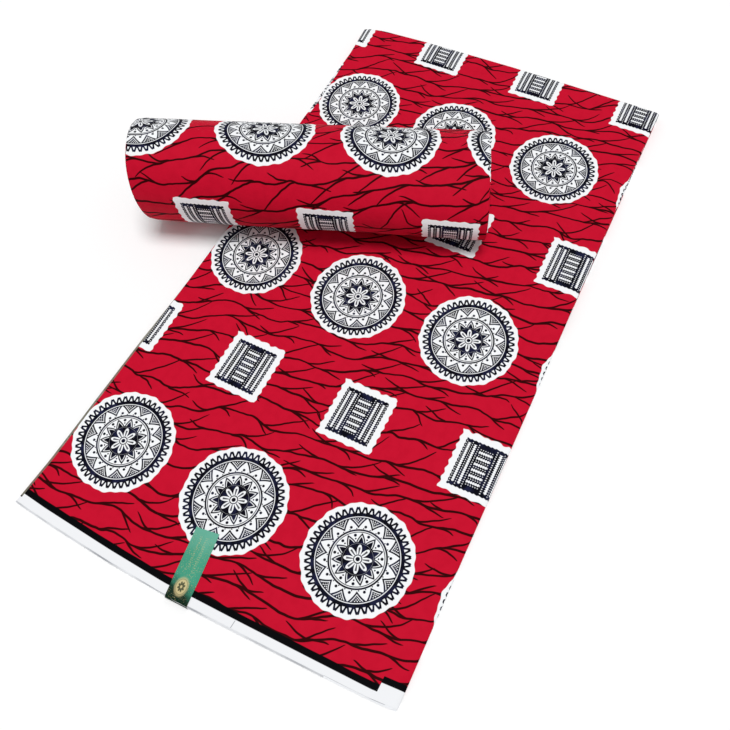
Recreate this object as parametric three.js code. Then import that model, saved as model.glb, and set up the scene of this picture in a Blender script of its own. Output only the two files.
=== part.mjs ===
// Printed cotton: one length folded in laps to a long strip, with its two ends of width turned
// under at the far end, and a folded length rolled up and laid across it. A paper label grips
// the near edge. Millimetres, +X along the near selvage, +Y away from it, +Z up.
// The origin is on the floor, under the strip's centre.
import * as THREE from 'three';

const gap = 0.3;
const clothWall = 1.2;

const strip = {
  nearHeight: 7, // twelve laps
  farHeight: 13.4, // the same laps again, turned under at the far fold
  rampStart: -20,
  rampEnd: 75,
  turnedUnder: 14, // how far the top lap's wall runs on beneath the far fold
  lipWidth: 15, // the soft right-hand edge
  lipDrop: 4.6,
  lowerLapsLeft: 1.6, // lower laps stand out past the top lap
  lowerLapsNear: 1.4,
};

const leftEdge = [
  { y: -420, x: -229.5 },
  { y: -365, x: -225.5 },
  { y: -258, x: -222.4 },
  { y: -172, x: -219.8 },
  { y: -48, x: -217.5 },
  { y: 244, x: -213 },
  { y: 324, x: -215.5 },
  { y: 401, x: -221 },
];
const rightEdge = [
  { y: -420, x: 230.5 },
  { y: -280, x: 229.2 },
  { y: 0, x: 228.6 },
  { y: 272, x: 227.2 },
  { y: 416, x: 228.4 },
];
const nearEdge = [
  { x: -230, y: -419.6 },
  { x: -186, y: -423.6 },
  { x: -100, y: -428.6 },
  { x: -30, y: -431 },
  { x: 60, y: -428.6 },
  { x: 198, y: -423.8 },
  { x: 230, y: -420.4 },
];
const farEdge = [
  { x: -225, y: 399 },
  { x: -214, y: 408 },
  { x: -190, y: 413 },
  { x: -127, y: 416.5 },
  { x: 11, y: 419 },
  { x: 175, y: 417.2 },
  { x: 215, y: 416 },
  { x: 230, y: 413 },
];

// how far each visible edge of the hidden laps stands back, from the floor up
const lapEdges = [
  { back: 0.5 },
  { back: 0 },
  { back: 0.9 },
  { back: 0.2 },
  { back: 1.1 },
  { back: 0.4 },
];
const lapGroove = 0.9;

const roll = {
  x: -122.7,
  y: 74.8,
  turn: 22.4, // degrees from +X
  length: 428,
  leftLean: 4.5, // the left end's top stands out past its foot
  leftHalfWidth: 59.6,
  leftHalfHeight: 64.6,
  rightHalfWidth: 77,
  rightHalfHeight: 51.5,
  coreHalfWidth: 9, // a slack hole, wider at the flat end
  coreHalfWidthRight: 18,
  coreHalfHeight: 8,
  coreHalfHeightRight: 5,
  turns: 5.3,
  pitchPerThickness: 1.17,
  freeEnd: 215, // degrees round the section, low on the far side
  trueAt: 90,
  sink: 3.2, // flattened where it lies
};

const label = {
  width: 26.5,
  onTop: 75,
  x: -14.6, // of its middle, where it goes over the near edge
  lean: 0.122,
  wall: 0.8,
};
// the label's way over the near edge: past the edge, and up from the floor
const labelPath = [
  { past: -75, up: 7.3 },
  { past: -50, up: 7.3 },
  { past: -25, up: 7.3 },
  { past: -6, up: 7.3 },
  { past: -0.4, up: 7.3 },
  { past: 1.3, up: 6.5 },
  { past: 2.0, up: 5.2 },
  { past: 2.0, up: 2.8 },
  { past: 2.0, up: 0.4 },
];

const lerp = (a, b, t) => a + (b - a) * t;
const clamp01 = (t) => Math.min(1, Math.max(0, t));
const smooth = (t) => { const c = clamp01(t); return c * c * (3 - 2 * c); };
const radians = (degrees) => (degrees * Math.PI) / 180;

function tableValue(rows, key, result, at) {
  if (at <= rows[0][key]) return rows[0][result];
  for (let i = 1; i < rows.length; i++) {
    if (at <= rows[i][key]) {
      const t = (at - rows[i - 1][key]) / (rows[i][key] - rows[i - 1][key]);
      return lerp(rows[i - 1][result], rows[i][result], t);
    }
  }
  return rows[rows.length - 1][result];
}

// One closed body from a lattice: place(i, j, k) gives the point, and only its outside is kept.
function latticeBody(ni, nj, nk, place) {
  const points = [];
  const faces = [];
  const known = new Map();
  const vertex = (i, j, k) => {
    const key = (i * (nj + 1) + j) * (nk + 1) + k;
    if (!known.has(key)) {
      known.set(key, points.length / 3);
      points.push(...place(i, j, k));
    }
    return known.get(key);
  };
  const quad = (a, b, c, d) => faces.push(a, b, c, a, c, d);
  for (let i = 0; i < ni; i++) {
    for (let j = 0; j < nj; j++) {
      quad(vertex(i, j, nk), vertex(i + 1, j, nk), vertex(i + 1, j + 1, nk), vertex(i, j + 1, nk));
      quad(vertex(i, j, 0), vertex(i, j + 1, 0), vertex(i + 1, j + 1, 0), vertex(i + 1, j, 0));
    }
  }
  for (let j = 0; j < nj; j++) {
    for (let k = 0; k < nk; k++) {
      quad(vertex(ni, j, k), vertex(ni, j + 1, k), vertex(ni, j + 1, k + 1), vertex(ni, j, k + 1));
      quad(vertex(0, j, k), vertex(0, j, k + 1), vertex(0, j + 1, k + 1), vertex(0, j + 1, k));
    }
  }
  for (let i = 0; i < ni; i++) {
    for (let k = 0; k < nk; k++) {
      quad(vertex(i, nj, k), vertex(i, nj, k + 1), vertex(i + 1, nj, k + 1), vertex(i + 1, nj, k));
      quad(vertex(i, 0, k), vertex(i + 1, 0, k), vertex(i + 1, 0, k + 1), vertex(i, 0, k + 1));
    }
  }
  const at = (n) => new THREE.Vector3(points[3 * n], points[3 * n + 1], points[3 * n + 2]);
  let volume = 0;
  for (let n = 0; n < faces.length; n += 3) {
    volume += at(faces[n]).dot(at(faces[n + 1]).cross(at(faces[n + 2])));
  }
  if (volume < 0) {
    for (let n = 0; n < faces.length; n += 3) {
      [faces[n + 1], faces[n + 2]] = [faces[n + 2], faces[n + 1]];
    }
  }
  const geometry = new THREE.BufferGeometry();
  geometry.setAttribute('position', new THREE.Float32BufferAttribute(points, 3));
  geometry.setIndex(faces);
  geometry.computeVertexNormals();
  return geometry;
}

// the strip's top, before its soft edge, for the stack that is turned under from the far end
const topHeight = (y) => lerp(strip.nearHeight, strip.farHeight,
  smooth((y - strip.rampStart) / (strip.rampEnd - strip.rampStart)));

const foldRadius = strip.farHeight / 2;

// Stations across the strip: evenly to the soft edge, then round it. Each is a share of the
// width less that edge, and an angle round it.
const flatShares = [0, 0.025, 0.06, 0.14, 0.26, 0.38, 0.5, 0.62, 0.74, 0.86, 0.95, 1];
const flatStations = flatShares.length - 1;
const lipStations = 6;
const lipAngle = 84;
const acrossCount = flatStations + lipStations;
function across(i, y, depth) {
  const left = tableValue(leftEdge, 'y', 'x', y);
  const right = tableValue(rightEdge, 'y', 'x', y);
  if (i <= flatStations) {
    return { x: lerp(left, right - strip.lipWidth, flatShares[i]), drop: depth };
  }
  const angle = radians((lipAngle * (i - flatStations)) / lipStations);
  const outX = Math.sin(angle) / strip.lipWidth;
  const outUp = Math.cos(angle) / strip.lipDrop;
  const norm = Math.hypot(outX, outUp);
  return {
    x: right - strip.lipWidth * (1 - Math.sin(angle)) - (depth * outX) / norm,
    drop: strip.lipDrop * (1 - Math.cos(angle)) + (depth * outUp) / norm,
  };
}

// Stations along the strip: near run, ramp, far run, half round the fold, and a little beneath.
const runStops = [-20, 4, 18, 32, 46, 60, 75, 160, 250, 340];
const nearStops = 6;
const foldStations = 10;
const underStations = 1;
const alongCount = nearStops + runStops.length + foldStations + underStations;
function along(j, x) {
  const near = tableValue(nearEdge, 'x', 'y', x);
  const centre = tableValue(farEdge, 'x', 'y', x) - foldRadius;
  if (j < nearStops) return { y: lerp(near, runStops[0], j / nearStops), centre };
  if (j < nearStops + runStops.length) return { y: runStops[j - nearStops], centre };
  const round = j - nearStops - runStops.length;
  if (round <= foldStations) return { centre, angle: (Math.PI * round) / foldStations };
  return { centre, beneath: strip.turnedUnder };
}

function stripPoint(i, j, depth) {
  const roughX = lerp(leftEdge[0].x, rightEdge[0].x, flatShares[Math.min(i, flatStations)]);
  const stop = along(j, roughX);
  const y = stop.y ?? stop.centre;
  const { x, drop } = across(i, y, depth);
  if (stop.angle !== undefined) {
    const r = foldRadius - drop;
    return [x, stop.centre + r * Math.sin(stop.angle), foldRadius + r * Math.cos(stop.angle)];
  }
  if (stop.beneath) return [x, stop.centre - stop.beneath, drop];
  return [x, y, topHeight(y) - drop];
}

const stripTopLap = () => latticeBody(acrossCount, alongCount, 1,
  (i, j, k) => stripPoint(i, j, k ? 0 : clothWall));

// The laps beneath, in one body: flat below, layered round its edges, and clear of the top lap.
const hiddenLevels = 2 * lapEdges.length;
const stepRun = 1.4; // its underside steps up over this, clear of the top lap's turned end
const hiddenAlong = nearStops + runStops.length + 3;
function hiddenPoint(i, j, k) {
  const depth = clothWall + gap;
  const roughX = lerp(leftEdge[0].x, rightEdge[0].x, flatShares[Math.min(i, flatStations)]);
  const near = tableValue(nearEdge, 'x', 'y', roughX);
  const centre = tableValue(farEdge, 'x', 'y', roughX) - foldRadius;
  const lastFlat = centre - strip.turnedUnder - gap - stepRun;
  let y;
  if (j < nearStops) y = lerp(near - strip.lowerLapsNear, runStops[0], j / nearStops);
  else if (j < nearStops + runStops.length) y = runStops[j - nearStops];
  else y = [lastFlat, lastFlat + stepRun, centre - 4, centre][j - nearStops - runStops.length];
  const { x, drop } = across(i, y, depth);
  const back = k % 2 ? lapEdges[(k - 1) / 2].back : lapGroove + 0.5;
  const share = k / hiddenLevels;
  let px = x - back * clamp01((i - flatStations) / lipStations);
  if (i === 0) px = x + back - (j < hiddenAlong - 1 ? strip.lowerLapsLeft : 0);
  if (j >= hiddenAlong) {
    const r = foldRadius - drop;
    const angle = Math.PI * (1 - share);
    return [px, centre + r * Math.sin(angle), foldRadius + r * Math.cos(angle)];
  }
  const bottom = y > lastFlat ? drop : 0;
  const py = j === 0 ? y + back : y;
  return [px, py, lerp(bottom, topHeight(y) - drop, share)];
}

const stripHiddenLaps = () => latticeBody(acrossCount, hiddenAlong, hiddenLevels, hiddenPoint);

// The roll: a folded strip wound in a spiral between an outer oval and a slack core.
const wound = roll.turns + 1 / roll.pitchPerThickness;
const turnShare = 1 / wound;
const stripShare = turnShare / roll.pitchPerThickness;
const rollDirection = new THREE.Vector2(Math.cos(radians(roll.turn)), Math.sin(radians(roll.turn)));

function rollPoint(degrees, at, inward) {
  const halfWidth = lerp(roll.leftHalfWidth, roll.rightHalfWidth, at);
  const halfHeight = lerp(roll.leftHalfHeight, roll.rightHalfHeight, at);
  const coreWidth = lerp(roll.coreHalfWidth, roll.coreHalfWidthRight, at);
  const coreHeight = lerp(roll.coreHalfHeight, roll.coreHalfHeightRight, at);
  const share = (turnShare * (roll.trueAt - degrees)) / 360;
  const angle = radians(degrees);
  const width = lerp(halfWidth, coreWidth, share) - inward;
  const height = lerp(halfHeight, coreHeight, share) - inward;
  const side = width * Math.cos(angle);
  let up = height * Math.sin(angle);
  const bottom = lerp(halfHeight, coreHeight, turnShare / 2);
  const column = -bottom * Math.sqrt(Math.max(0, 1 - (side / halfWidth) ** 2));
  const lift = Math.max(0, roll.sink - bottom - column);
  up += lift * clamp01(-up / bottom);
  const slide = (at - 0.5) * roll.length - (1 - at) * roll.leftLean * (up / halfHeight);
  const x = roll.x + slide * rollDirection.x + side * rollDirection.y;
  const y = roll.y + slide * rollDirection.y - side * rollDirection.x;
  const rest = topHeight(y) - strip.farHeight;
  return [x, y, strip.farHeight + gap + bottom - roll.sink + up + rest * clamp01(-up / bottom)];
}

const outerTuck = 16; // degrees that the outer lap runs in beneath the free end
const outerStations = 44;
const rollStations = 8;
const rollOuterLap = () => latticeBody(outerStations, rollStations, 1, (i, j, k) => {
  const degrees = lerp(roll.freeEnd - 360 - outerTuck, roll.freeEnd, i / outerStations);
  return rollPoint(degrees, j / rollStations, k ? 0 : clothWall);
});

const spiralStations = 132;
function rollHiddenPoint(i, j, k) {
  const first = roll.freeEnd - 360 * roll.turns;
  const degrees = lerp(first, roll.freeEnd, i / spiralStations);
  const under = degrees - (roll.freeEnd - 360 - outerTuck);
  const inset = under > -6 ? clothWall + gap : 0;
  const ends = (j === 0 || j === rollStations) ? 1 : 0;
  const at = lerp(j / rollStations, 0.5, ends * 0.008);
  if (k) return rollPoint(degrees, at, inset);
  return rollPoint(degrees - 360 * (stripShare / turnShare), at, 0)
    .map((value, axis) => {
      const outer = rollPoint(degrees, at, 0);
      const inner = rollPoint(degrees - 360, at, 0);
      return lerp(outer[axis], inner[axis], stripShare / turnShare);
    });
}
const rollHiddenWraps = () => latticeBody(spiralStations, rollStations, 1, rollHiddenPoint);

// The label: a band that lies on the top lap, clear of it, and goes down over the near edge.
function labelPoint(i, j, k) {
  const row = labelPath[j];
  const before = labelPath[Math.max(0, j - 1)];
  const after = labelPath[Math.min(labelPath.length - 1, j + 1)];
  const run = Math.hypot(after.past - before.past, after.up - before.up);
  const outPast = -(after.up - before.up) / run;
  const outUp = (after.past - before.past) / run;
  const thick = k ? label.wall : 0;
  const sideways = (i / 2 - 0.5) * label.width;
  const past = row.past + outPast * thick;
  const x = label.x + sideways + label.lean * Math.min(0, past);
  const y = tableValue(nearEdge, 'x', 'y', x) - past + sideways * label.lean * (past < -10 ? 1 : 0);
  return [x, y, row.up + outUp * thick];
}
const labelBand = () => latticeBody(2, labelPath.length - 1, 1, labelPoint);

const printedCotton = new THREE.MeshStandardMaterial({
  name: 'printed cotton', color: 0xb4122f, roughness: 0.62,
});
const foilPaper = new THREE.MeshStandardMaterial({
  name: 'foil paper label', color: 0x58a08c, roughness: 0.35, metalness: 0.3,
});

const part = new THREE.Group();
part.name = 'wax_print_cloth';
function add(name, geometry, material) {
  const mesh = new THREE.Mesh(geometry, material);
  mesh.name = name;
  part.add(mesh);
}
add('strip_top_lap', stripTopLap(), printedCotton);
add('strip_hidden_laps', stripHiddenLaps(), printedCotton);
add('roll_outer_lap', rollOuterLap(), printedCotton);
add('roll_hidden_wraps', rollHiddenWraps(), printedCotton);
add('label_band', labelBand(), foilPaper);

export default part;
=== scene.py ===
# Printed cotton folded to a strip, with a rolled length across it, on a pale studio floor.
import math

import bpy
from mathutils import Matrix, Vector, noise


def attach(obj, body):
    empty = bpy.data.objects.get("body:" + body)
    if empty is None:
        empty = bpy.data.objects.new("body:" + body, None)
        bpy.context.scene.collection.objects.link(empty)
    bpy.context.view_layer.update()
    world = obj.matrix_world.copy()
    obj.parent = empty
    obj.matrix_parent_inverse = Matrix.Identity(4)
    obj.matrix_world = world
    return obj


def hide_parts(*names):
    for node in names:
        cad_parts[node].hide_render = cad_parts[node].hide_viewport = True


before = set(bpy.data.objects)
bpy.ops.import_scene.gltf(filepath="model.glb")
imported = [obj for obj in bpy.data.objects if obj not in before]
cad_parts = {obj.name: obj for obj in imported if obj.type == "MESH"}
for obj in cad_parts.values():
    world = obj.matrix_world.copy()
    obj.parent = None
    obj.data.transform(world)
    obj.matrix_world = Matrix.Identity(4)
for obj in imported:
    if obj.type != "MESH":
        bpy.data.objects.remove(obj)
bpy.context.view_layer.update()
for thing in bpy.context.selected_objects:
    thing.select_set(False)

millimetre = 0.001
lapLength = 457.0  # millimetres: one lap of the folded strip


def lerp(a, b, t):
    return a + (b - a) * t


def clamp(t):
    return min(1.0, max(0.0, t))


def smooth(t):
    t = clamp(t)
    return t * t * (3 - 2 * t)


def alongTable(rows, at):
    if at <= rows[0][0]:
        return rows[0][1]
    for before, after in zip(rows, rows[1:]):
        if at <= after[0]:
            return lerp(before[1], after[1], (at - before[0]) / (after[0] - before[0]))
    return rows[-1][1]


def wander(seed, at, scale):  # a smooth random value, mostly between -1 and 1
    return 1.6 * noise.noise(Vector((at / scale, seed * 7.31, seed * 1.7)))


def makeSheet(name, columns, rows, place, thick, material):
    # a grid of points in millimetres, each with its place on the print, given a thickness
    points = []
    prints = []
    for i in range(columns):
        for j in range(rows):
            point, uv = place(i, j)
            points.append([c * millimetre for c in point])
            prints.append([c * millimetre for c in uv])
    faces = []
    for i in range(columns - 1):
        for j in range(rows - 1):
            a = i * rows + j
            faces.append((a, a + rows, a + rows + 1, a + 1))
    mesh = bpy.data.meshes.new(name)
    mesh.from_pydata(points, [], faces)
    layer = mesh.uv_layers.new(name="print")
    for loop in mesh.loops:
        layer.data[loop.index].uv = prints[loop.vertex_index]
    mesh.materials.append(material)
    piece = bpy.data.objects.new(name, mesh)
    bpy.context.scene.collection.objects.link(piece)
    bpy.context.view_layer.objects.active = piece
    piece.select_set(True)
    wall = piece.modifiers.new("wall", "SOLIDIFY")
    wall.thickness = thick * millimetre
    wall.offset = 0
    bpy.ops.object.modifier_apply(modifier="wall")
    bpy.ops.object.shade_smooth_by_angle(angle=math.radians(60))
    piece.select_set(False)
    return piece


# the shader's numbers: an expression on these adds its Math nodes
class Field:
    def __init__(self, tree, socket):
        self.tree = tree
        self.socket = socket

    def math(self, operation, *others):
        return addNode(self.tree, "ShaderNodeMath", {"operation": operation}, [self, *others])

    def __add__(self, other):
        return self.math("ADD", other)

    def __sub__(self, other):
        return self.math("SUBTRACT", other)

    def __mul__(self, other):
        return self.math("MULTIPLY", other)

    def __truediv__(self, other):
        return self.math("DIVIDE", other)

    def __rsub__(self, other):
        return addNode(self.tree, "ShaderNodeMath", {"operation": "SUBTRACT"}, [other, self])

    def __rtruediv__(self, other):
        return addNode(self.tree, "ShaderNodeMath", {"operation": "DIVIDE"}, [other, self])

    __radd__ = __add__
    __rmul__ = __mul__

    def size(self):
        return self.math("ABSOLUTE")

    def least(self, other):
        return self.math("MINIMUM", other)

    def most(self, other):
        return self.math("MAXIMUM", other)

    def sine(self):
        return self.math("SINE")

    def wrapped(self, period):  # from minus half a period to half of one
        return self.math("FLOORED_MODULO", period) - period / 2

    def rise(self, start, end):  # 0 before start, 1 after end, smooth between
        return addNode(self.tree, "ShaderNodeMapRange", {"interpolation_type": "SMOOTHSTEP"},
                       {0: self, 1: start, 2: end, 3: 0.0, 4: 1.0})


def feed(tree, node, values):  # a value or a link for each named or numbered socket
    for key, value in values.items():
        if isinstance(value, Field):
            tree.links.new(value.socket, node.inputs[key])
        else:
            node.inputs[key].default_value = value


def addNode(tree, kind, settings=None, inputs=None, output=0):
    node = tree.nodes.new(kind)
    for key, value in (settings or {}).items():
        setattr(node, key, value)
    feed(tree, node, inputs if isinstance(inputs, dict) else dict(enumerate(inputs or [])))
    return Field(tree, node.outputs[output])


def mixColour(tree, factor, first, second):
    def full(colour):
        return colour if isinstance(colour, Field) else (*colour, 1.0)

    return addNode(tree, "ShaderNodeMix", {"data_type": "RGBA"},
                   {0: factor, 6: full(first), 7: full(second)}, 2)


def newMaterial(name):
    material = bpy.data.materials.new(name)
    material.use_nodes = True
    tree = material.node_tree
    tree.nodes.clear()
    surface = tree.nodes.new("ShaderNodeBsdfPrincipled")
    output = tree.nodes.new("ShaderNodeOutputMaterial")
    tree.links.new(surface.outputs[0], output.inputs[0])
    return material, tree, surface


def printPlace(tree):  # the piece's own map, and the place on it in millimetres
    uv = addNode(tree, "ShaderNodeUVMap", {"uv_map": "print"})
    split = addNode(tree, "ShaderNodeSeparateXYZ", {}, {0: uv}).socket.node.outputs
    return uv, Field(tree, split[0]) * 1000.0, Field(tree, split[1]) * 1000.0


def cloud(tree, place, scale, detail):  # smooth noise, from 0 to 1
    return addNode(tree, "ShaderNodeTexNoise", {"noise_dimensions": "2D"},
                   {"Vector": place, "Scale": scale, "Detail": detail}, "Fac")


def length(a, b):
    return (a * a + b * b).math("SQRT")


def line(field, half, soft=0.22):  # 1 within half of zero
    return 1.0 - field.size().rise(half - soft, half + soft)


def inside(field, soft=0.25):  # 1 where the field is below zero
    return 1.0 - field.rise(-soft, soft)


def either(*masks):
    result = masks[0]
    for mask in masks[1:]:
        result = result.most(mask)
    return result


# colours are linear, and lengths are in millimetres on the cloth
cotton = {
    "crimson": (0.560, 0.0045, 0.0265),
    "crimsonDeep": (0.500, 0.0035, 0.0225),
    "white": (0.890, 0.908, 0.925),
    "selvage": (0.850, 0.862, 0.885),
    "ink": (0.0020, 0.0021, 0.0062),
    "inkBlue": (0.011, 0.013, 0.042),
    "black": (0.0010, 0.0010, 0.0018),
    "veinInk": (0.0300, 0.0004, 0.0010),
    "shade": (0.30, 0.31, 0.34),
    # olive-grey for the lower laps' left folds
    "foldGrey": (0.20, 0.19, 0.145),
    "roughness": 0.66,
    "sheen": 0.012,
    "sheenRoughness": 0.4,
    "specular": 0.04,
    "thread": 0.42,  # from thread to thread
    "relief": 0.00006,  # metres
    "columnStep": 150.0,
    "rowStep": 284.0,
    "medallionAt": (58.0, 112.0),
    "plateAt": (133.0, 254.0),
}

# the medallion's rings, by their distance from its middle
rings = {
    "edge": 59.4,
    "rickrack": (50.9, 2.7, 44.0),  # its middle, its swing and its number of waves
    "rickrackHalf": 1.3,
    # plain circles, each with its half width
    "circles": [(46.6, 1.9), (43.3, 0.55), (30.2, 0.95), (28.0, 0.45), (16.9, 0.7)],
    "outerPoints": (14, 43.2, 32.0, 0.0),  # how many, base, tip and turn
    "outerLine": (2.1, 0.4),  # the white line in each point: how far in, and its half width
    "outerHatch": (98.0, 2.2, 3.2),  # round, outwards, and how far in it starts
    "outerBeads": [(14, 34.0, 1.5, 0.5), (28, 31.9, 0.7, 0.25)],  # how many, middle, size and turn
    "innerPoints": (11, 17.4, 27.4, 0.25),
    "innerLine": (1.8, 0.4),
    "innerBeads": [(11, 25.0, 1.6, 0.75), (11, 21.4, 0.9, 0.75)],
    "middle": 16.2,
    "petals": 8,
    "petalFrom": 4.4,
    "petalReach": 10.6,
    "petalCrease": (8.6, 3.6, 12.4),  # its middle, its half length and where it stops
    "heart": 4.8,
    "heartRing": (3.0, 0.7),
}


def medallion(tree, x, y):
    # a white disc with a rickrack ring, two rings of points and a petalled middle
    r = length(x, y)
    turn = y.math("ARCTAN2", x)

    def share(count, shift):  # -0.5 to 0.5 round each of count parts
        return (turn * (count / (2 * math.pi)) + shift).wrapped(1.0)

    def points(count, base, tip, shift):  # below zero inside a ring of triangles
        wave = share(count, shift).size() * 2.0
        slope = 2 * abs(tip - base) * count / (math.pi * (tip + base))
        field = (wave * (base - tip) + (tip - r)) if tip < base else (r - tip + wave * (tip - base))
        return field / math.sqrt(1 + slope * slope)

    def beads(count, radius, size, shift):
        side = share(count, shift) * (2 * math.pi * radius / count)
        return inside(length(side, r - radius) - size)

    edge = rings["edge"] + 0.7 * (turn * 13.0).sine() + 0.45 * (turn * 29.0 + 1.0).sine()
    disc = inside(r - edge, 0.3)

    middle, swing, waves = rings["rickrack"]
    bend = (turn * waves + math.pi / 2).sine() * (swing * waves / middle)
    slant = (1.0 + bend * bend).math("SQRT")
    rickrack = line((r - middle - swing * (turn * waves).sine()) / slant, rings["rickrackHalf"])
    circles = [line(r - radius, half) for radius, half in rings["circles"]]

    outer = points(*rings["outerPoints"])
    around, outwards, start = rings["outerHatch"]
    hatch = ((turn * around).sine() * (r * outwards).sine()).rise(0.15, 0.45)
    within, half = rings["outerLine"]
    outerInk = inside(outer) * (1.0 - line(outer + within, half))
    outerInk = outerInk * (1.0 - hatch * inside(outer + start))
    outerInk = outerInk * inside(r - rings["outerPoints"][1] - 0.2)

    inner = points(*rings["innerPoints"])
    within, half = rings["innerLine"]
    innerInk = inside(inner) * (1.0 - line(inner + within, half))
    innerInk = innerInk * inside(rings["innerPoints"][1] - 0.4 - r)
    dots = [beads(*ring) for ring in rings["outerBeads"] + rings["innerBeads"]]

    petal = (turn * (rings["petals"] / 2) + 0.4).sine().size()
    reach = rings["petalFrom"] + rings["petalReach"] * petal
    petals = inside(r - reach) * inside(rings["heart"] - r)
    along, half, stop = rings["petalCrease"]
    crease = inside(0.93 - petal, 0.02) * inside(r - stop) * line(r - along, half, 0.4)
    middleInk = inside(r - rings["middle"]) * (1.0 - petals * (1.0 - crease * 0.9))
    radius, half = rings["heartRing"]
    middleInk = middleInk * (1.0 - line(r - radius, half))
    return disc, either(rickrack, *circles, outerInk, innerInk, *dots, middleInk)


# the plate's ladder of bars, by the distances from its middle
ladder = {
    "whole": (34.2, 36.4),  # half widths across and up
    "block": (26.4, 28.8),
    "posts": (14.4, 21.6),
    "postTop": 24.4,
    "barHalf": 1.25,
    "rungStep": 7.2,
    "rungEnds": (7.9, 22.0),
    "spotStep": 2.7,
    "spotHalf": 0.55,
    "spotColumns": [(10.3, 0.5), (18.0, 0.45), (24.9, 0.4)],  # each with its half width
    "spotTop": 26.6,
    "rowHalf": 0.45,
    "rowEnds": (8.6, 24.0),
}


def plate(tree, x, y):
    # a white deckle-edged plate with a navy ladder of serrated bars, alike on both sides
    a, b = x.size(), y.size()
    deckle = 0.9 * (y * 0.62 + (x * 0.31).sine()).sine() + 0.6 * (x * 0.55 + 1.3).sine()
    whole = inside((a - ladder["whole"][0]).most(b - ladder["whole"][1]) + deckle, 0.3)
    fray = 0.4 * ((x + y) * 1.3).sine()
    block = inside((a - ladder["block"][0]).most(b - ladder["block"][1]) + fray, 0.25)

    toothed = ladder["barHalf"] + 0.55 * (y * 2.4).sine()
    posts = either(*[line(a - post, toothed) for post in ladder["posts"]])
    posts = posts * inside(b - ladder["postTop"])
    rungs = line(y.wrapped(ladder["rungStep"]), ladder["barHalf"] + 0.5 * (x * 2.4).sine())
    rungs = rungs * inside(a - ladder["rungEnds"][0]) * inside(b - ladder["rungEnds"][1])

    columns = either(*[line(a - at, half, 0.25) for at, half in ladder["spotColumns"]])
    spots = line(y.wrapped(ladder["spotStep"]), ladder["spotHalf"], 0.25)
    spots = spots * inside(b - ladder["spotTop"]) * columns
    between = (y + ladder["rungStep"] / 2).wrapped(ladder["rungStep"])
    spotRows = line(x.wrapped(ladder["spotStep"]), ladder["spotHalf"], 0.25)
    spotRows = spotRows * line(between, ladder["rowHalf"], 0.25)
    spotRows = spotRows * inside(a - ladder["rowEnds"][0]) * inside(b - ladder["rowEnds"][1])
    return whole, block * (1.0 - either(posts, rungs, spots, spotRows))


def drift(tree, x, y, seed):  # a smooth value, mostly between -0.5 and 0.5
    place = addNode(tree, "ShaderNodeCombineXYZ", {}, [x + seed * 31.7, y + seed * 17.3])
    return cloud(tree, place, 1.0, 0.0) * 1.25 - 0.625


def chance(tree, x, y, seed):  # one random value from 0 to 1 for each whole x and y
    place = addNode(tree, "ShaderNodeCombineXYZ", {}, [x + seed * 0.37, y + seed * 0.61])
    return addNode(tree, "ShaderNodeTexWhiteNoise", {"noise_dimensions": "2D"}, {"Vector": place}, 0)


vein = {
    "step": 23.0,  # from branch to branch
    "slope": 0.2,
    "wander": (24.0, 6.5, 0.9),  # how far the branches stray: widely, less widely and finely
    "half": 1.27,
    "swell": 1.1,
    "halfMost": 1.5,
    "twigStep": 60.0,
    "twigReach": 44.0,
    "twigBend": 0.62,
    "twigSway": 9.0,
    "twigHalf": 1.47,
    "twigLess": 0.25,
}
# twigs that climb to the next branch, short ones that hang from it, and a few that lean back
twigKinds = [
    {"seed": 5, "climbs": True, "lean": 1, "apart": 1.0, "least": 0.35, "extra": 0.85},
    {"seed": 6, "climbs": False, "lean": 1, "apart": 1.15, "least": 0.2, "extra": 0.42},
    {"seed": 7, "climbs": True, "lean": -1, "apart": 2.3, "least": 0.3, "extra": 0.5},
]


def veins(tree, s, t):
    # wavy branches across the laps, with curved tapering twigs on both sides of each
    step, bend = vein["step"], vein["twigBend"]

    def flow(a, b):  # the twigs' sway, and the branch's number with its fraction between two
        wide = drift(tree, a / 84, b / 70, 1)
        sway = drift(tree, a / 33, b / 30, 2)
        fine = drift(tree, a / 9, b / 9, 3)
        far, less, least = vein["wander"]
        rise = b - a * vein["slope"] + wide * far + sway * less + fine * least
        return sway * vein["twigSway"], rise / step

    # each line's width is evened out by how fast its field changes there
    here = flow(s, t)
    swayS, levelS = [(after - before) * 2.0 for after, before in zip(flow(s + 0.5, t), here)]
    swayT, levelT = [(after - before) * 2.0 for after, before in zip(flow(s, t + 0.5), here)]
    sway, level = here
    branch = level.math("FLOOR")
    above = level - branch
    swellAlong = drift(tree, s / 52, branch * 3.7, 4)
    near = above.least(1.0 - above) / length(levelS, levelT).most(0.4 / step)
    ink = inside(near - (vein["half"] + swellAlong * vein["swell"]).least(vein["halfMost"]), 0.3)

    for kind in twigKinds:
        climb, row, way = (above, branch, 1) if kind["climbs"] else (1.0 - above, branch + 1.0, -1)
        pick = chance(tree, row, row + 0.5, kind["seed"])
        spread = vein["twigStep"] * kind["apart"]
        lean = s * kind["lean"] + sway - climb.math("POWER", bend) * vein["twigReach"]
        along = lean / spread + pick * 9.0
        twig = along.math("FLOOR")
        mark = chance(tree, twig, row, kind["seed"])
        tip = kind["least"] + mark * kind["extra"]
        shift = (mark * 7.31).math("FRACT") * 0.5 - 0.25
        off = (along - twig - 0.5 + shift).size() * spread
        steep = climb.most(0.06).math("POWER", bend - 1) * (bend * vein["twigReach"] * way)
        off = off / length(kind["lean"] + swayS - steep * levelS, swayT - steep * levelT).most(0.6)
        taper = (1.0 - climb / tip).most(0.0).math("POWER", 0.2)
        half = taper * vein["twigHalf"] - vein["twigLess"]
        ink = either(ink, inside(off - half, 0.3) * inside(climb - tip, 0.02))
    return ink


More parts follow.
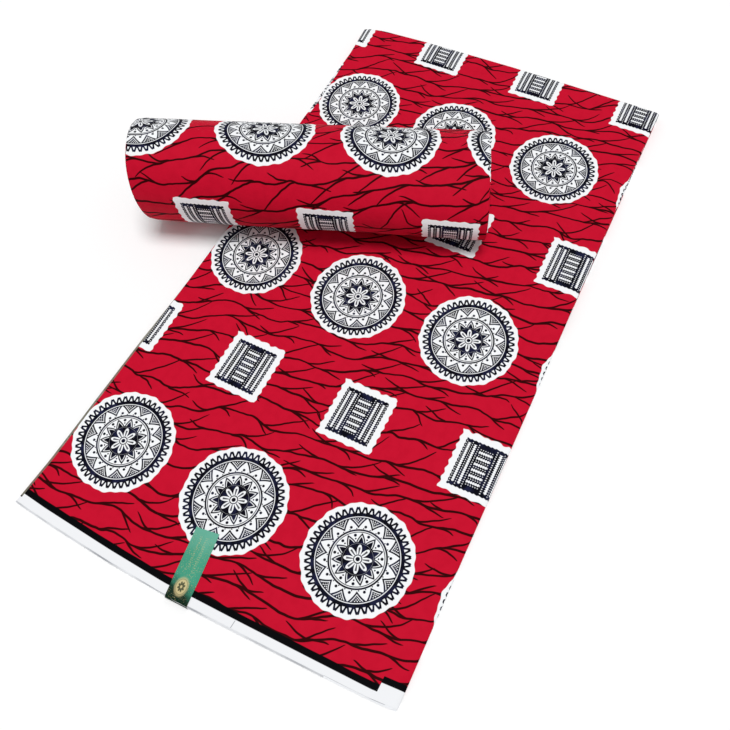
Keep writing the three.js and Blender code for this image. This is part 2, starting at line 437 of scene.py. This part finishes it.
# the selvage, by the distance from the cloth's edge, and by the place along the lap
selvage = {
    "white": 9.9,
    "ink": 16.7,
    "lean": 0.0052,  # the black line nears the edge along the lap
    "block": (431.5, 60.0),  # where the white grows wider, and for how long
    "blockStep": 9.0,
    "inkStep": 8.28,
    # a painted shade line across the selvage, for a crease there: its place, lean, half width and
    # reach
    "crease": 276.0,
    "creaseLean": 0.08,
    "creaseHalf": 0.42,
    "creaseReach": 7.8,
    "gapShadeReach": 1.6,
    "gap": (922.0, 447.0),  # the upper laps' near edges, painted shade: their middle and half length
}
# the lower laps' left folds
greyFoldBand = {
    "half": 3.6,
    "laps": (3050.0, 2550.0),  # their stretch of the cloth: its middle and half length
    "from": 9.0,
    "to": 392.0,
    "fade": 28.0,
}


def printedCotton():
    material, tree, surface = newMaterial("printedCotton")
    uv, s, t = printPlace(tree)

    def repeated(motif, at):
        column, row = cotton["columnStep"], cotton["rowStep"]
        across = (s - at[0] + column / 2).wrapped(column)
        return motif(tree, across, (t - at[1] + row / 2).wrapped(row))

    disc, discInk = repeated(medallion, cotton["medallionAt"])
    square, squareInk = repeated(plate, cotton["plateAt"])

    mottle = cloud(tree, uv, 90.0, 4.0)
    ground = mixColour(tree, mottle.rise(0.35, 0.75) * 0.5, cotton["crimson"], cotton["crimsonDeep"])
    ink = mixColour(tree, mottle.rise(0.4, 0.7), cotton["ink"], cotton["inkBlue"])
    colour = mixColour(tree, veins(tree, s, t), ground, cotton["veinInk"])
    colour = mixColour(tree, either(disc, square), colour, cotton["white"])
    colour = mixColour(tree, disc * discInk, colour, ink)
    colour = mixColour(tree, square * squareInk, colour, ink)

    # the selvage: a black line and a bare white edge, with a white block near each lap's end
    blockStart, blockLength = selvage["block"]
    block = line(s - blockStart - blockLength / 2, blockLength / 2, 0.3)
    out = t + s.least(lapLength) * selvage["lean"]
    waver = drift(tree, s / 40, t / 40, 9) * 0.9
    blackTop = out - block * selvage["inkStep"] - selvage["ink"] + waver
    whiteTop = out - block * selvage["blockStep"] - selvage["white"]
    colour = mixColour(tree, inside(blackTop, 0.3), colour, cotton["black"])
    colour = mixColour(tree, inside(whiteTop, 0.3), colour, cotton["selvage"])
    # a painted shade line across the white selvage, where a crease crosses it
    crease = line(s - selvage["crease"] - t * selvage["creaseLean"], selvage["creaseHalf"], 0.2)
    crease = crease * inside(t - selvage["creaseReach"])
    colour = mixColour(tree, crease * 0.8, colour, cotton["shade"])
    # painted shade: the upper laps' near edges, darkened in the gap under the top one
    gapMiddle, gapHalf = selvage["gap"]
    gap = inside(t - selvage["gapShadeReach"], 0.4) * line(s - gapMiddle, gapHalf, 0.5)
    gap = gap * (0.55 + drift(tree, s / 30, t / 30, 8) * 0.8)
    colour = mixColour(tree, gap.most(0.0), colour, cotton["shade"])

    # the lower laps' left folds, coloured olive-grey
    lapsMiddle, lapsHalf = greyFoldBand["laps"]
    fold = (s + lapLength).wrapped(2 * lapLength).size() - greyFoldBand["half"]
    foldGrey = inside(fold, 0.6) * line(s - lapsMiddle, lapsHalf)
    foldGrey = foldGrey * inside(greyFoldBand["from"] - t) * inside(t - greyFoldBand["to"], greyFoldBand["fade"])
    colour = mixColour(tree, foldGrey * 0.9, colour, cotton["foldGrey"])

    threads = 2 * math.pi / cotton["thread"]
    weave = (s * threads).sine() * (t * threads).sine()
    height = weave * 0.5 + cloud(tree, uv, 24.0, 3.0) * 6.0
    bump = addNode(tree, "ShaderNodeBump", {},
                   {"Strength": 0.35, "Distance": cotton["relief"], "Height": height})
    feed(tree, surface, {"Base Color": colour,
                         "Roughness": cotton["roughness"] + (mottle - 0.5) * 0.12,
                         "Normal": bump,
                         "Specular IOR Level": cotton["specular"],
                         "Sheen Weight": cotton["sheen"],
                         "Sheen Roughness": cotton["sheenRoughness"]})
    return material


foil = {
    "green": (0.050, 0.298, 0.192),
    "pale": (0.120, 0.385, 0.282),
    "deep": (0.0020, 0.020, 0.009),
    "gold": (0.60, 0.50, 0.25),
    "sealAt": (-1.0, 61.5),  # across the label, and from its top end
    "sealHalf": (7.2, 9.9),
    "fade": (2.0, 34.0),  # from the pale top end to the green
    "dark": (50.0, 70.0),  # and to the deep lower end
    "dashes": [(-3.4, 1.1), (3.2, 1.5)],  # two columns, each with its half width
    "dashStep": 2.3,
    "dashMiddle": 25.0,
    "dashReach": 17.0,
    "roughness": 0.34,
    "metallic": 0.15,
    "specular": 0.1,
    "relief": 0.0001,  # metres
}


def foilPaper():
    material, tree, surface = newMaterial("foilPaper")
    uv, x, y = printPlace(tree)
    cloudy = cloud(tree, uv, 130.0, 3.0)
    speck = cloud(tree, uv, 900.0, 2.0)
    fading = (y + cloudy * 20.0 - 10.0).rise(*foil["fade"])
    darkening = (y - x * 0.3 + cloudy * 12.0 - 6.0).rise(*foil["dark"])
    colour = mixColour(tree, fading, foil["pale"], foil["green"])
    colour = mixColour(tree, darkening, colour, foil["deep"])
    # two columns of short gold dashes, and gold dust
    dashes = either(*[line(x - at, half, 0.4) for at, half in foil["dashes"]])
    dashes = dashes * line(y.wrapped(foil["dashStep"]), 0.62, 0.3) * (speck - 0.42).rise(0.0, 0.12)
    dashes = dashes * line(y - foil["dashMiddle"], foil["dashReach"], 2.0)
    flecks = (speck + cloudy * 0.35).rise(0.80, 0.90) * y.rise(3.0, 12.0)
    colour = mixColour(tree, either(dashes * 0.42, flecks * 0.45), colour, foil["gold"])
    # a gold seal with a plain rosette
    halfX, halfY = foil["sealHalf"]
    sx, sy = (x - foil["sealAt"][0]) / halfX, (y - foil["sealAt"][1]) / halfY
    seal = length(sx, sy)
    turn = sy.math("ARCTAN2", sx)
    colour = mixColour(tree, inside(seal - 0.94, 0.24) * 0.9, colour, foil["gold"])
    rosette = inside(seal - 0.34 - 0.22 * (turn * 4.0).sine().size(), 0.05)
    rosette = rosette * (1.0 - inside(seal - 0.16, 0.04))
    rim = line(seal - 0.80, 0.03, 0.03)
    colour = mixColour(tree, either(rim * 0.6, rosette * 0.85), colour, foil["deep"])
    bump = addNode(tree, "ShaderNodeBump", {},
                   {"Strength": 0.3, "Distance": foil["relief"], "Height": cloudy})
    feed(tree, surface, {"Base Color": colour,
                         "Roughness": foil["roughness"] + cloudy * 0.2,
                         "Metallic": foil["metallic"],
                         "Specular IOR Level": foil["specular"],
                         "Normal": bump})
    return material


clothMaterial = printedCotton()
labelMaterial = foilPaper()
print("materials made")


# the folded strip, in millimetres
strip = {
    "nearHeight": 7.0,
    "farHeight": 13.4,
    "rampStart": -20.0,
    "rampEnd": 75.0,
    "lipWidth": 15.0,
    "lipDrop": 4.6,
    "lipAngle": 84.0,
    "lipLength": 16.4,
    "cornerLip": (5.0, 1.1, 5.6),  # its width, drop and length at the far corner
    "cornerStart": (345, 50),  # where the lip begins to narrow, and over how long
    "cornerEnd": (415, 60),
    "laps": 12,
    "pitch": 0.57,
    "thick": 0.34,
    "lowerThick": 0.3,
    "loose": [0.7, 1.9, 0.4, 1.3, 2.2, 0.9, 1.6, 0.5, 1.2, 2.0, 1.1, 0.6],  # each lap's near edge
    "spread": (-90, 110, 1.8),  # where the left folds spread, over how long, and by how much
    "nearEnd": -420,
    "nearFade": 260,
    "run": 836,  # from the near edge to the far fold
    "turnedUnder": 335.0,
    "back": 8,  # how far the top lap goes on beneath its soft edge
}
leftEdge = [(-420, -229.5), (-365, -225.5), (-258, -222.4), (-172, -219.8),
            (-48, -217.5), (244, -213), (324, -215.5), (401, -221)]
rightEdge = [(-420, 230.5), (-280, 229.2), (0, 228.6), (272, 227.2), (416, 228.4)]
nearEdge = [(-230, -419.6), (-186, -423.6), (-100, -428.6), (-30, -431),
            (60, -428.6), (198, -423.8), (230, -420.4)]
farEdge = [(-225, 399), (-214, 408), (-190, 413), (-127, 416.5),
           (11, 419), (175, 417.2), (215, 416), (230, 415.4)]
# soft troughs and ridges in the laps
creases = [
    {"x": -150, "y": -330, "turn": 78, "length": 150, "width": 10, "rise": -0.5},
    {"x": -8, "y": -392, "turn": 96, "length": 70, "width": 7, "rise": -0.6},
    {"x": 118, "y": -372, "turn": 104, "length": 90, "width": 9, "rise": 0.5},
    {"x": 60, "y": -210, "turn": 84, "length": 260, "width": 16, "rise": 0.5},
    {"x": -118, "y": -120, "turn": 93, "length": 210, "width": 13, "rise": -0.5},
    {"x": 168, "y": -60, "turn": 88, "length": 240, "width": 12, "rise": -0.45},
    {"x": 150, "y": 210, "turn": 97, "length": 190, "width": 14, "rise": 0.5},
    {"x": 20, "y": 300, "turn": 86, "length": 170, "width": 12, "rise": -0.5},
    {"x": -140, "y": 330, "turn": 100, "length": 120, "width": 10, "rise": 0.45},
]
foldRadius = strip["farHeight"] / 2


def topHeight(y):
    run = strip["rampEnd"] - strip["rampStart"]
    return lerp(strip["nearHeight"], strip["farHeight"], smooth((y - strip["rampStart"]) / run))


def swell(x, y):  # how far the cloth stands above its flat lie
    rise = 0.5 * noise.noise(Vector((x / 140, y / 170, 3.1)))
    rise += 0.22 * noise.noise(Vector((x / 60, y / 80, 8.4)))
    for crease in creases:
        turn = math.radians(crease["turn"])
        dx, dy = x - crease["x"], y - crease["y"]
        far = abs(dx * math.cos(turn) + dy * math.sin(turn)) / (crease["length"] / 2)
        side = (dy * math.cos(turn) - dx * math.sin(turn)) / crease["width"]
        if far < 1 and abs(side) < 3:
            rise += crease["rise"] * math.exp(-side * side) * smooth(1 - far)
    return rise


def stripStops(step):  # along the cloth's width: the run, the far fold, and beneath
    runCount, foldCount, underCount = round(strip["run"] / step), 12, 14
    stops = [("run", j / runCount) for j in range(runCount + 1)]
    stops += [("fold", math.pi * j / foldCount) for j in range(1, foldCount + 1)]
    stops += [("under", strip["turnedUnder"] * j / underCount) for j in range(1, underCount + 1)]
    return stops


def fromSelvage(y, near):  # the distance from the near selvage, measured on the cloth
    ahead = strip["nearEnd"] - near
    return y - strip["nearEnd"] + ahead * math.exp(-(y - near) / strip["nearFade"])


def stripPlace(stop, roughX, across, nearOut, sunk):
    # across(y) gives x and the depth below the stack's top; the results are the point, its
    # distance from the near selvage, and the y that across was given
    near = alongTable(nearEdge, roughX) - nearOut
    centre = alongTable(farEdge, roughX) - foldRadius
    kind, value = stop
    if kind == "run":
        y = lerp(near, centre, value)
        x, depth = across(y)
        level = topHeight(y)
        rise = swell(x, y) * smooth((centre - y) / 40) / level
        return (x, y, (level - depth) * (1 + rise - sunk)), fromSelvage(y, near), y
    base = fromSelvage(centre, near)
    at = centre + (value if kind == "under" else 0)
    x, depth = across(at)
    if kind == "fold":
        r = foldRadius - depth
        y, z = centre + r * math.sin(value), foldRadius + r * math.cos(value)
        return (x, y, z), base + value * foldRadius, at
    return (x, centre - value, depth), base + math.pi * foldRadius + value, at


def lipSize(y):  # the soft right-hand edge is wide all along, and narrow at the far corner
    start, narrowing = strip["cornerStart"]
    end, widening = strip["cornerEnd"]
    narrow = smooth((y - start) / narrowing) * (1 - smooth((y - end) / widening))
    wide = (strip["lipWidth"], strip["lipDrop"], strip["lipLength"])
    return [lerp(a, b, narrow) for a, b in zip(wide, strip["cornerLip"])]


def lipPoint(y, degrees, depth):  # round the soft right-hand edge
    lipWidth, lipDrop = lipSize(y)[:2]
    angle = math.radians(degrees)
    outX = math.sin(angle) / lipWidth
    outUp = math.cos(angle) / lipDrop
    size = math.hypot(outX, outUp)
    x = alongTable(rightEdge, y) - lipWidth * (1 - math.sin(angle)) - depth * outX / size
    return x, lipDrop * (1 - math.cos(angle)) + depth * outUp / size


def topLapStations():
    # across the top lap, round its soft edge, and a little way back beneath it; the third
    # value says how much of a narrower edge's spare length is behind the station
    base, pitch, lipLength = strip["thick"] / 2, strip["pitch"], strip["lipLength"]
    acrossCount, downCount, turnCount, backCount = 57, 10, 5, 8
    stations = []
    for i in range(acrossCount):
        share = i / acrossCount

        def across(y, share=share):
            left, right = alongTable(leftEdge, y), alongTable(rightEdge, y) - lipSize(y)[0]
            curl = 0.5 * smooth(1 - share * 90)
            return lerp(left + 0.4 * wander(3, y, 60), right, share), base + curl * 0.3
        stations.append((across, share * (lapLength - lipLength), share))
    for i in range(downCount + 1):
        degrees = strip["lipAngle"] * i / downCount
        toGo = 1 - i / downCount
        stations.append((lambda y, d=degrees: lipPoint(y, d, base),
                         lapLength - lipLength * toGo, toGo))
    angle = math.radians(strip["lipAngle"])
    dirX, dirUp = strip["lipWidth"] * math.cos(angle), strip["lipDrop"] * math.sin(angle)
    size = math.hypot(dirX, dirUp)
    for i in range(1, turnCount):
        turn = math.pi * i / turnCount

        def across(y, turn=turn):
            x, depth = lipPoint(y, strip["lipAngle"], base + pitch / 2 * (1 - math.cos(turn)))
            reach = pitch / 2 * math.sin(turn)
            return x + reach * dirX / size, depth + reach * dirUp / size
        stations.append((across, lapLength + 0.18 * i, 0.0))
    backFrom = lapLength + 0.9
    for i in range(backCount + 1):
        degrees = strip["lipAngle"] * (1 - i / backCount)
        stations.append((lambda y, d=degrees: lipPoint(y, d, base + pitch),
                         backFrom + lipLength * i / backCount, -i / backCount))

    def back(y):
        x, depth = lipPoint(y, 0, base + pitch)
        return x - strip["back"], depth
    stations.append((back, backFrom + lipLength + strip["back"], -1.0))
    return stations


def lowerLapStations():
    # eleven laps, to and fro, each pair joined by a fold; the upper folds stand further in
    base, pitch = strip["thick"] / 2, strip["pitch"]
    stations = []

    def leftOf(y, lap):
        # towards the near end the lower folds stand out at the left
        start, over, least = strip["spread"]
        depth = base + (lap + 0.5) * pitch
        out = smooth((start - y) / over) * (0.6 * depth + least + 0.5 * wander(lap + 30, y, 120))
        return alongTable(leftEdge, y) - 0.2 - out - 0.4 * abs(wander(lap + 20, y, 90))

    def rightOf(y, lap):
        lipWidth, lipDrop = lipSize(y)[:2]
        reach = lipDrop - min(4.4, max(0.3, base + lap // 2 * 2 * pitch - 1.6 * pitch))
        angle = math.acos(max(0.04, min(0.95, reach / lipDrop)))
        inFrom = lipWidth * (1 - math.sin(angle))
        bare = 1.3 if inFrom > 0.6 else 0.5
        return alongTable(rightEdge, y) - inFrom - bare - 0.3 * abs(wander(lap // 2 + 40, y, 70))

    shares = [0.0, 0.03, 0.12, 0.3, 0.5, 0.7, 0.88, 0.97, 1.0]
    for lap in range(1, strip["laps"]):
        depth = base + lap * pitch
        forward = lap % 2 == 0
        for share in (shares if forward else shares[::-1]):
            if lap == 1 and share > 0.96:
                continue

            def across(y, share=share, lap=lap, depth=depth):
                left = leftOf(y, (lap + 1) // 2 * 2 - 1)
                right = rightOf(y, lap // 2 * 2)
                if lap == 1:
                    right = alongTable(rightEdge, y) - lipSize(y)[0] - strip["back"] - 1
                return lerp(left + 0.3, right - 0.3, share), depth
            inner = smooth(share / 0.1) * smooth((1 - share) / 0.1)
            s = (lap + (share if forward else 1 - share)) * lapLength
            stations.append((across, s, lap, inner))
        if lap == strip["laps"] - 1:
            break
        for i in range(1, 4):
            turn = math.pi * i / 4

            def across(y, turn=turn, lap=lap, depth=depth, forward=forward):
                edge, way = (rightOf(y, lap), 1) if forward else (leftOf(y, lap), -1)
                out = pitch / 2 * math.sin(turn) - 0.3
                return edge + way * out, depth + pitch / 2 * (1 - math.cos(turn))
            stations.append((across, (lap + 1) * lapLength + 0.2 * i, lap, 0.0))
    return stations


def makeStrip():
    stops = stripStops(6)
    stations = topLapStations()
    roughs = [entry[0](0)[0] for entry in stations]

    def topPlace(i, j):
        across, s, behind = stations[i]
        point, t, at = stripPlace(stops[j], roughs[i], across, 0.0, 0.0)
        return point, (s + behind * (strip["lipLength"] - lipSize(at)[2]), t)
    top = makeSheet("stripTopLap", len(stations), len(stops), topPlace,
                    strip["thick"], clothMaterial)

    lowerStops = stripStops(12)
    lower = lowerLapStations()
    lowerRoughs = [entry[0](0)[0] for entry in lower]

    def lowerPlace(i, j):
        across, s, lap, inner = lower[i]
        nearOut = strip["loose"][lap] + 0.5 * wander(lap + 60, lowerRoughs[i], 80)
        kind, value = lowerStops[j]
        sunk = 0.06 * inner * (smooth(value / 0.06) if kind == "run" else 0.0)
        point, t, _ = stripPlace(lowerStops[j], lowerRoughs[i], across, nearOut, sunk)
        return point, (s, t)
    under = makeSheet("stripLowerLaps", len(lower), len(lowerStops), lowerPlace,
                      strip["lowerThick"], clothMaterial)
    return top, under


# the roll, in millimetres and degrees
roll = {
    "x": -122.7,
    "y": 74.8,
    "turn": 22.4,
    "length": 428.0,
    "leftLean": 4.5,
    "halfWidth": (59.6, 77.0),  # at the left end and at the right
    "halfHeight": (64.6, 51.5),
    "coreWidth": (9.0, 18.0),
    "coreHeight": (8.0, 5.0),
    "turns": 5.3,
    "pitchPerThickness": 1.17,
    "freeEnd": 215.0,
    "trueAt": 90.0,
    "sink": 3.2,
    "gap": 0.3,
    "laps": 13,
    "lowerThick": 0.28,
    "tuck": 16.0,
    "curl": 1.1,  # how far the laps' ends roll in
    "endBow": 1.3,  # how far the outermost and innermost laps' ends stay behind
    "endWander": 0.55,
    "endStep": 0.5,  # how much further out each wrap stands
    "printFrom": 3.5,
    "printAhead": 6000.0,  # the lower laps' stretch of the print, clear of the strip's
}
wound = roll["turns"] + 1 / roll["pitchPerThickness"]
turnShare = 1 / wound
stripShare = turnShare / roll["pitchPerThickness"]
rollAlong = (math.cos(math.radians(roll["turn"])), math.sin(math.radians(roll["turn"])))


def rollPlace(degrees, slide, lap, inward):
    # slide runs along the roll from its middle; each lap lies deeper by its share of the strip
    at = clamp(slide / roll["length"] + 0.5)
    halfWidth, halfHeight = lerp(*roll["halfWidth"], at), lerp(*roll["halfHeight"], at)
    coreWidth, coreHeight = lerp(*roll["coreWidth"], at), lerp(*roll["coreHeight"], at)
    share = turnShare * (roll["trueAt"] - degrees) / 360 + stripShare * lap / roll["laps"]
    angle = math.radians(degrees)
    side = (lerp(halfWidth, coreWidth, share) - inward) * math.cos(angle)
    up = (lerp(halfHeight, coreHeight, share) - inward) * math.sin(angle)
    bottom = lerp(halfHeight, coreHeight, turnShare / 2)
    underside = -bottom * math.sqrt(max(0.0, 1 - (side / halfWidth) ** 2))
    up += max(0.0, roll["sink"] - bottom - underside) * clamp(-up / bottom)
    slide -= (1 - at) * roll["leftLean"] * (up / halfHeight)
    x = roll["x"] + slide * rollAlong[0] + side * rollAlong[1]
    y = roll["y"] + slide * rollAlong[1] - side * rollAlong[0]
    rest = (topHeight(y) - strip["farHeight"]) * clamp(-up / bottom)
    return x, y, strip["farHeight"] + roll["gap"] + bottom - roll["sink"] + up + rest


arcDegrees = 5
arcSteps = [0.0]
for stepNumber in range(1, 400):
    before = Vector(rollPlace(roll["freeEnd"] - arcDegrees * (stepNumber - 1), 0, 0, 0))
    after = Vector(rollPlace(roll["freeEnd"] - arcDegrees * stepNumber, 0, 0, 0))
    arcSteps.append(arcSteps[-1] + (after - before).length)


def arcFrom(degrees):  # how far from the free end, on the cloth
    n = max(0.0, (roll["freeEnd"] - degrees) / arcDegrees)
    whole = min(len(arcSteps) - 2, int(n))
    return lerp(arcSteps[whole], arcSteps[whole + 1], n - whole)


def dent(degrees, slide):  # the slack of the outer laps
    around = math.radians(degrees)
    return (0.8 * noise.noise(Vector((math.cos(around) * 0.9, math.sin(around) * 0.9, slide / 90)))
            + 0.35 * noise.noise(Vector((math.cos(around) * 3, math.sin(around) * 3, slide / 45))))


def makeRoll():
    half, base, pitch = roll["length"] / 2, strip["thick"] / 2, strip["pitch"]
    printFrom, curled = roll["printFrom"], roll["curl"]

    def endTrim(lap, degrees, way):
        # the laps' ends are uneven, and each wrap stands a little further out than the last
        behind = roll["endBow"] * (2 * lap / (roll["laps"] - 1) - 1) ** 2
        uneven = roll["endWander"] * wander(lap // 2 * 3 + 80 + way, degrees, 70)
        return behind + uneven - roll["endStep"] * ((roll["freeEnd"] - degrees) / 360)

    # the outer lap, with its fold at the right-hand end
    first = roll["freeEnd"] - 360 - roll["tuck"]
    ringCount, lengthCount = 108, 54
    outerStations = [("face", i / lengthCount) for i in range(lengthCount + 1)]
    outerStations += [("fold", i) for i in range(1, 5)] + [("back", 0), ("back", 1)]

    def outerPlace(i, j):
        kind, value = outerStations[i]
        degrees = lerp(first, roll["freeEnd"], j / (ringCount - 1))
        leftEnd = -half + endTrim(0, degrees, 0)
        rightEnd = half - endTrim(0, degrees, 1)
        t = arcFrom(degrees)
        tucked = smooth((degrees - first) / 40)
        if kind == "face":
            slide = lerp(leftEnd, rightEnd - 0.3, value)
            fromEnd = min(slide - leftEnd, rightEnd - slide)
            curl = curled * (1 - smooth(fromEnd / 7))
            inward = base + curl - dent(degrees, slide) * smooth(fromEnd / 12) * tucked
            return rollPlace(degrees, slide, 0, inward), (printFrom - slide, t)
        if kind == "fold":
            turn = math.pi * value / 5
            slide = rightEnd - 0.3 + pitch / 2 * math.sin(turn)
            inward = base + curled + pitch / 2 * (1 - math.cos(turn))
            return rollPlace(degrees, slide, 0, inward), (printFrom - half - 0.2 * value, t)
        slide = rightEnd - 0.3 - 9 * value
        inward = base + curled * (1 - value) + pitch
        return rollPlace(degrees, slide, 0, inward), (printFrom - half - 1 - 9 * value, t)
    outer = makeSheet("rollOuterLap", len(outerStations), ringCount, outerPlace,
                      strip["thick"], clothMaterial)

    # the laps beneath, to and fro along the roll, and the outer lap's own inner wraps
    start = roll["freeEnd"] - 360 * roll["turns"]
    turnCount = 214
    stations = []
    for lap in range(1, roll["laps"]):
        shares = [0.0, 0.04, 0.5, 0.96, 1.0]
        forward = lap % 2 == 0
        stations += [(lap, share if forward else 1 - share, 0.0) for share in shares]
        if lap < roll["laps"] - 1:
            stations += [(lap, 1.0 if forward else 0.0, math.pi * i / 4) for i in range(1, 4)]

    def innerPlace(i, j):
        lap, share, turn = stations[i]
        degrees = lerp(start, roll["freeEnd"], j / (turnCount - 1))
        foldLeft, foldRight = (lap + 1) // 2 * 2, lap // 2 * 2 + 1
        leftEnd = -half + endTrim(foldLeft, degrees, 0) + 0.5
        rightEnd = half - endTrim(foldRight, degrees, 1) - 0.5
        deep = 0.0
        slide = lerp(leftEnd, rightEnd, share)
        if turn:
            way = 1 if share > 0.5 else -1
            slide += way * pitch / 2 * math.sin(turn)
            deep = (1 - math.cos(turn)) / 2
        inward = base + 0.25 + 0.25 * smooth(share * 12) * smooth((1 - share) * 12)
        s = printFrom + (lap + (1 - share if lap % 2 else share)) * lapLength + roll["printAhead"]
        outermost = smooth((degrees - first + 30) / 30)
        ends = curled * (1 - smooth(min(share, 1 - share) * 50)) * max(0.0, 1 - lap / 5) * outermost
        point = rollPlace(degrees, slide, lap + deep, inward + ends)
        return point, (s, arcFrom(degrees))
    inner = makeSheet("rollInnerWraps", len(stations), turnCount, innerPlace,
                      roll["lowerThick"], clothMaterial)

    wrapStop = first - 1.5
    wrapCount = round(turnCount * (wrapStop - start) / (360 * roll["turns"]))
    alongCount = 6

    def wrapPlace(i, j):
        degrees = lerp(start, wrapStop, j / (wrapCount - 1))
        slide = lerp(-half + endTrim(0, degrees, 0), half - endTrim(0, degrees, 1), i / alongCount)
        return rollPlace(degrees, slide, 0, base), (printFrom - slide, arcFrom(degrees))
    wraps = makeSheet("rollTopLapWraps", alongCount + 1, wrapCount, wrapPlace,
                      roll["lowerThick"], clothMaterial)
    inner.select_set(True)
    wraps.select_set(True)
    bpy.context.view_layer.objects.active = inner
    bpy.ops.object.join()
    inner.select_set(False)
    return outer, inner


label = {
    "width": 26.5,
    "x": -14.6,
    "lean": 0.122,
    "thick": 0.25,
    "lift": 0.28,
    "top": 7.2,
    "reach": 75,  # from the strip's near edge
    "columns": 8,
}
labelWay = [(-past, label["top"]) for past in (label["reach"], 70, 60, 45, 30, 18, 9, 4, 1)]
labelWay += [(0.4, 6.95), (1.5, 6.3), (2.3, 5.3), (2.6, 4.2), (2.6, 2.6), (2.5, 0.4)]


def makeLabel():
    def place(i, j):
        past, up = labelWay[j]
        side = (i / label["columns"] - 0.5) * label["width"]
        x = label["x"] + side + label["lean"] * min(0, past)
        y = alongTable(nearEdge, x) - past + (side * label["lean"] if past < -10 else 0)
        if past < 0:
            up += label["lift"] + swell(x, y) + 0.5 * smooth((-past - 66) / 9)
        along = label["reach"] + (past if past < 0 else label["top"] - up)
        return (x, y, up), (side, along)
    return makeSheet("labelBand", label["columns"] + 1, len(labelWay), place,
                     label["thick"], labelMaterial)


stripTop, stripUnder = makeStrip()
print("strip folded")
rollOuter, rollInner = makeRoll()
print("roll wound")
band = makeLabel()
print("label set on")

for piece, node, slotName in ((stripTop, "strip_top_lap", "printed_cotton"),
                              (stripUnder, "strip_hidden_laps", "printed_cotton"),
                              (rollOuter, "roll_outer_lap", "printed_cotton"),
                              (rollInner, "roll_hidden_wraps", "printed_cotton"),
                              (band, "label_band", "foil_paper")):
    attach(piece, "root")
    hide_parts(node)


# the studio
studio = {
    "eye": (0.2494, -0.4492, 0.7804),
    "right": (0.89098984, 0.4517926, -0.04495042),
    "down": (0.38314351, -0.80131747, -0.45944681),
    "ahead": (-0.24359423, 0.39213997, -0.88706713),
    "focalPixels": 744.23,
    "imagePixels": 730,
    "world": 0.38,
    "wall": 0.93,
    "floor": (0.97, 0.97, 0.97),
    "floorRoughness": 0.9,
    "floorSize": 60,
    "floorDrop": 0.0002,
    "sensor": 36,
    "sun": 2.14,
    "sunSpread": 24.0,
    "sunFrom": (0.10, -0.03, 0.99),
}


def makeStudio():
    camera = bpy.data.cameras.new("camera")
    camera.sensor_width = studio["sensor"]
    camera.lens = studio["sensor"] * studio["focalPixels"] / studio["imagePixels"]
    eye = bpy.data.objects.new("camera", camera)
    bpy.context.scene.collection.objects.link(eye)
    right, down, ahead = (Vector(studio[k]) for k in ("right", "down", "ahead"))
    turn = Matrix((right, -down, -ahead)).transposed()
    eye.matrix_world = Matrix.Translation(studio["eye"]) @ turn.to_4x4()
    bpy.context.scene.camera = eye

    material, tree, surface = newMaterial("floorPaper")
    feed(tree, surface, {"Base Color": (*studio["floor"], 1.0),
                         "Roughness": studio["floorRoughness"],
                         "Specular IOR Level": 0.1})
    bpy.ops.mesh.primitive_plane_add(size=studio["floorSize"], location=(0, 0, -studio["floorDrop"]))
    floor = bpy.context.active_object
    floor.name = "floor"
    floor.data.materials.append(material)
    floor.select_set(False)

    light = bpy.data.lights.new("softOverhead", "SUN")
    light.energy = studio["sun"]
    light.angle = math.radians(studio["sunSpread"])
    sun = bpy.data.objects.new("softOverhead", light)
    bpy.context.scene.collection.objects.link(sun)
    sun.matrix_world = (-Vector(studio["sunFrom"])).to_track_quat("-Z", "Y").to_matrix().to_4x4()

    world = bpy.context.scene.world or bpy.data.worlds.new("studio")
    bpy.context.scene.world = world
    world.use_nodes = True
    # the camera sees a pale wall, and the cloth is lit by a softer one
    background = world.node_tree.nodes.get("Background")
    background.inputs[0].default_value = (1, 1, 1, 1)
    seen = addNode(world.node_tree, "ShaderNodeLightPath", {}, {}, "Is Camera Ray")
    strength = seen * (studio["wall"] - studio["world"]) + studio["world"]
    world.node_tree.links.new(strength.socket, background.inputs[1])
    bpy.context.scene.view_settings.view_transform = "Standard"


makeStudio()
print("studio lit")
